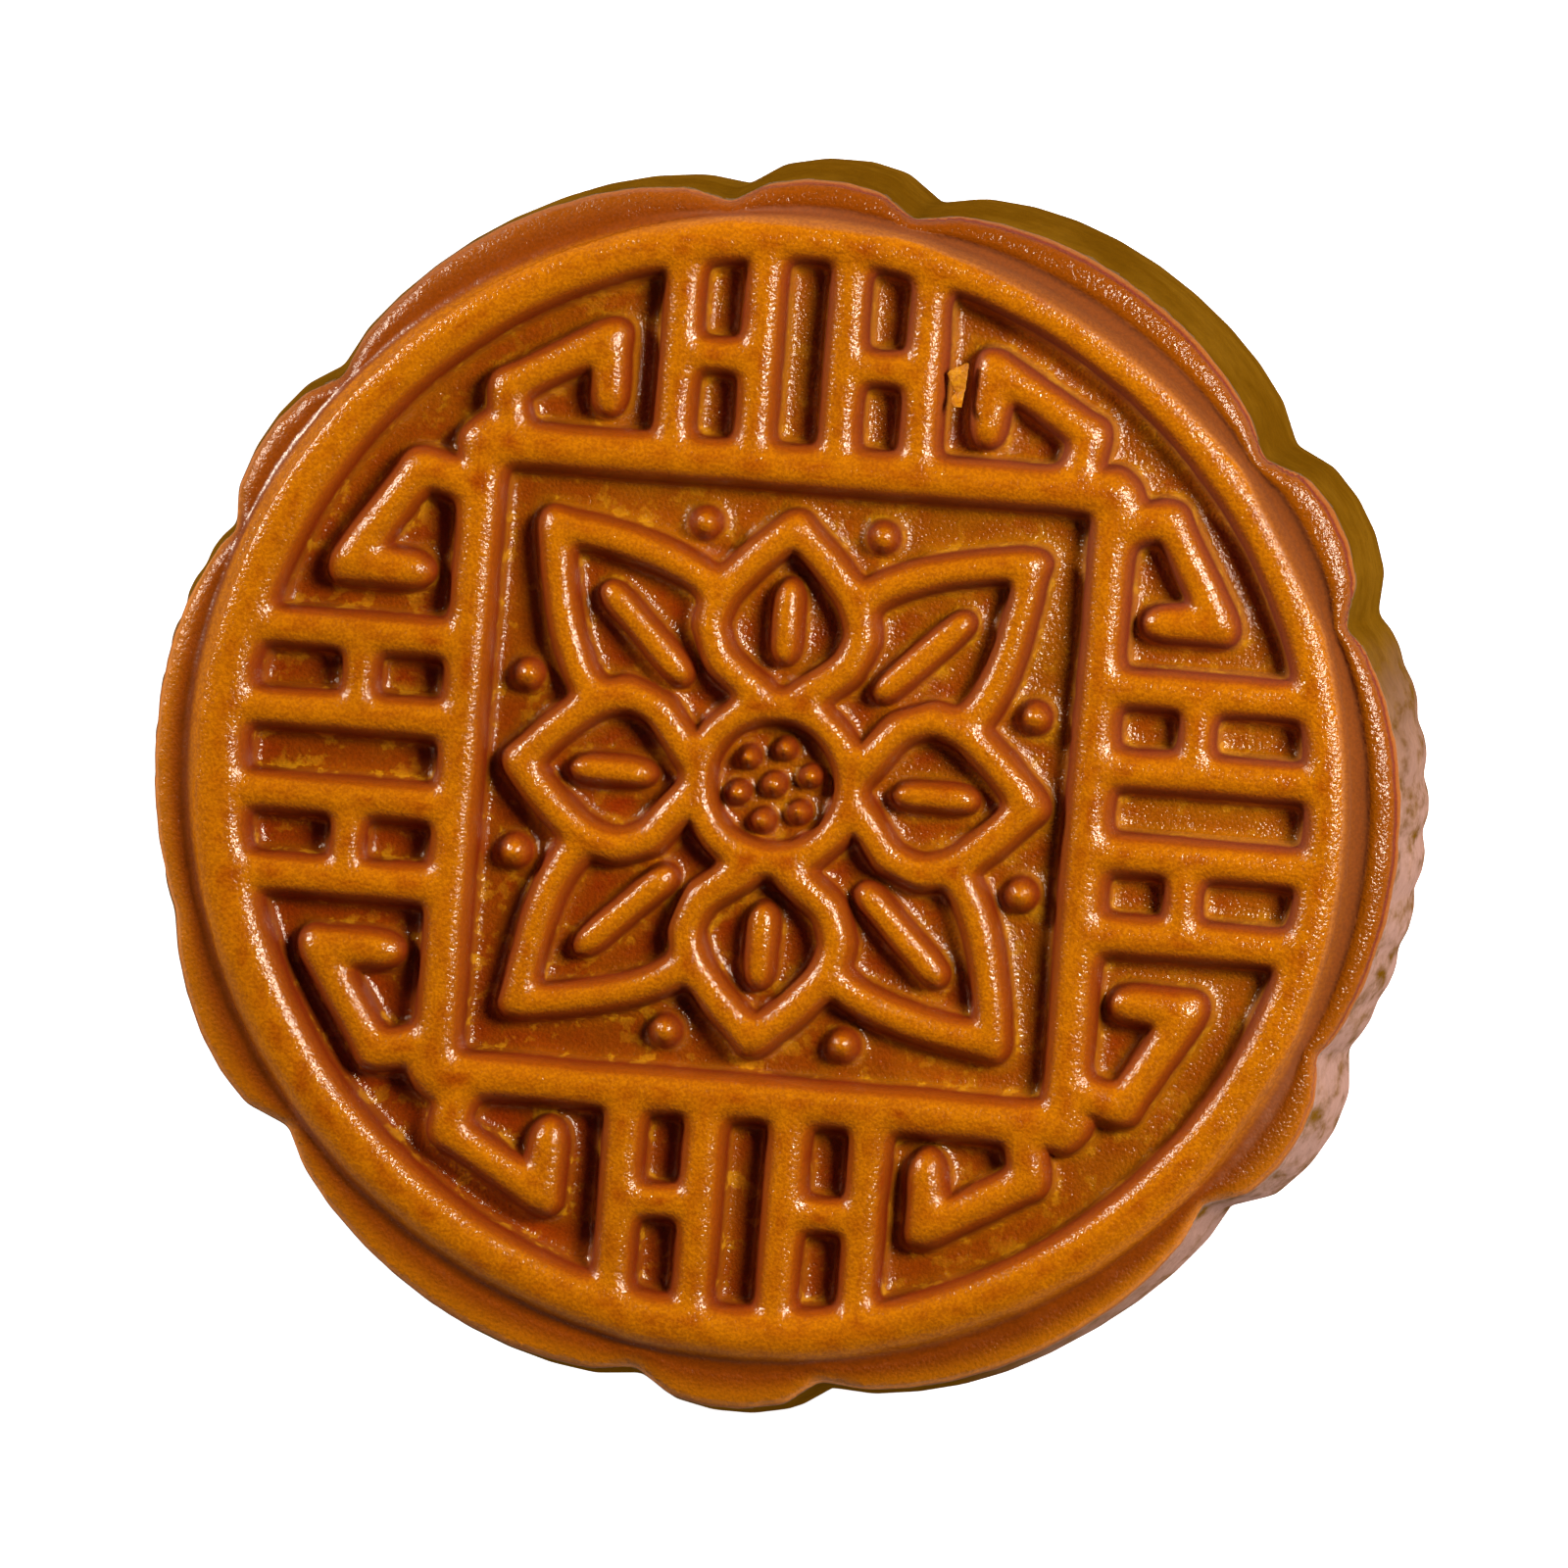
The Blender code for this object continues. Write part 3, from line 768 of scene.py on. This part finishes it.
CAMERA_TURN = math.radians(4.7)
PRINT_CENTRE = (0.18, 0.61)
AIM_OFFSET = (0.8046, 0.1289)
PIXELS_PER_MM = 16.0
IMAGE_SIDE = 1600
SENSOR = 36.0

floor_mesh = bpy.data.meshes.new("table_top")
bm = bmesh.new()
bmesh.ops.create_grid(bm, x_segments=1, y_segments=1, size=FLOOR_SIZE / 2)
bm.to_mesh(floor_mesh)
bm.free()
table_top = bpy.data.objects.new("table_top", floor_mesh)
bpy.context.scene.collection.objects.link(table_top)
pale = bpy.data.materials.new("pale_table")
pale.use_nodes = True
feed(pale.node_tree, pale.node_tree.nodes["Principled BSDF"], {
    "Base Color": colour(TABLE_PALE),
    "Roughness": TABLE_ROUGHNESS,
    "Emission Color": colour(WHITE),
    "Emission Strength": TABLE_GLOW,
})
table_top.data.materials.append(pale)
table_top.visible_glossy = False


def direction(azimuth, polar):
    """A unit vector at these angles in degrees: from +X round +Z, and down from +Z."""
    around, down = math.radians(azimuth), math.radians(polar)
    outwards = Vector((math.cos(around), math.sin(around), 0.0)) * math.sin(down)
    return outwards + Vector((0.0, 0.0, math.cos(down)))


def soft_box(name, azimuth, polar, away, size, power):
    lamp = bpy.data.lights.new(name, "AREA")
    lamp.shape = "SQUARE"
    lamp.size = size
    lamp.energy = power
    obj = bpy.data.objects.new(name, lamp)
    bpy.context.scene.collection.objects.link(obj)
    towards = direction(azimuth, polar)
    obj.location = towards * away
    obj.rotation_euler = towards.to_track_quat("Z", "Y").to_euler()
    return obj


soft_box("key_box", **KEY_BOX)
soft_box("second_box", **SECOND_BOX)
world = bpy.data.worlds.new("pale_walls")
world.use_nodes = True
sky = world.node_tree
looking = add_node(sky, "TexCoord").outputs["Generated"]
rise = feed(sky, add_node(sky, "SeparateXYZ"), {0: looking}).outputs["Z"]
glow = spread(sky, ease(sky, rise, *WALLS_END), WALLS, CEILING)
feed(sky, sky.nodes["Background"], {"Color": colour(WHITE), "Strength": glow})
bpy.context.scene.world = world

camera_data = bpy.data.cameras.new("camera")
camera_data.sensor_width = SENSOR
camera_data.lens = PIXELS_PER_MM * SENSOR * (CAMERA_AWAY / MM) / IMAGE_SIDE
camera = bpy.data.objects.new("camera", camera_data)
bpy.context.scene.collection.objects.link(camera)
aim = Vector((PRINT_CENTRE[0] + AIM_OFFSET[0], PRINT_CENTRE[1] + AIM_OFFSET[1], CREST_HEIGHT)) * MM
back = Vector((
    math.sin(CAMERA_TILT) * math.cos(CAMERA_AZIMUTH),
    math.sin(CAMERA_TILT) * math.sin(CAMERA_AZIMUTH),
    math.cos(CAMERA_TILT),
))
upwards = Vector((-math.sin(CAMERA_TURN), math.cos(CAMERA_TURN), 0.0))
right = upwards.cross(back).normalized()
true_up = back.cross(right)
camera.matrix_world = Matrix.LocRotScale(
    aim + back * CAMERA_AWAY,
    Matrix((right, true_up, back)).transposed().to_quaternion(),
    None,
)
bpy.context.scene.camera = camera
bpy.context.scene.view_settings.view_transform = "Standard"
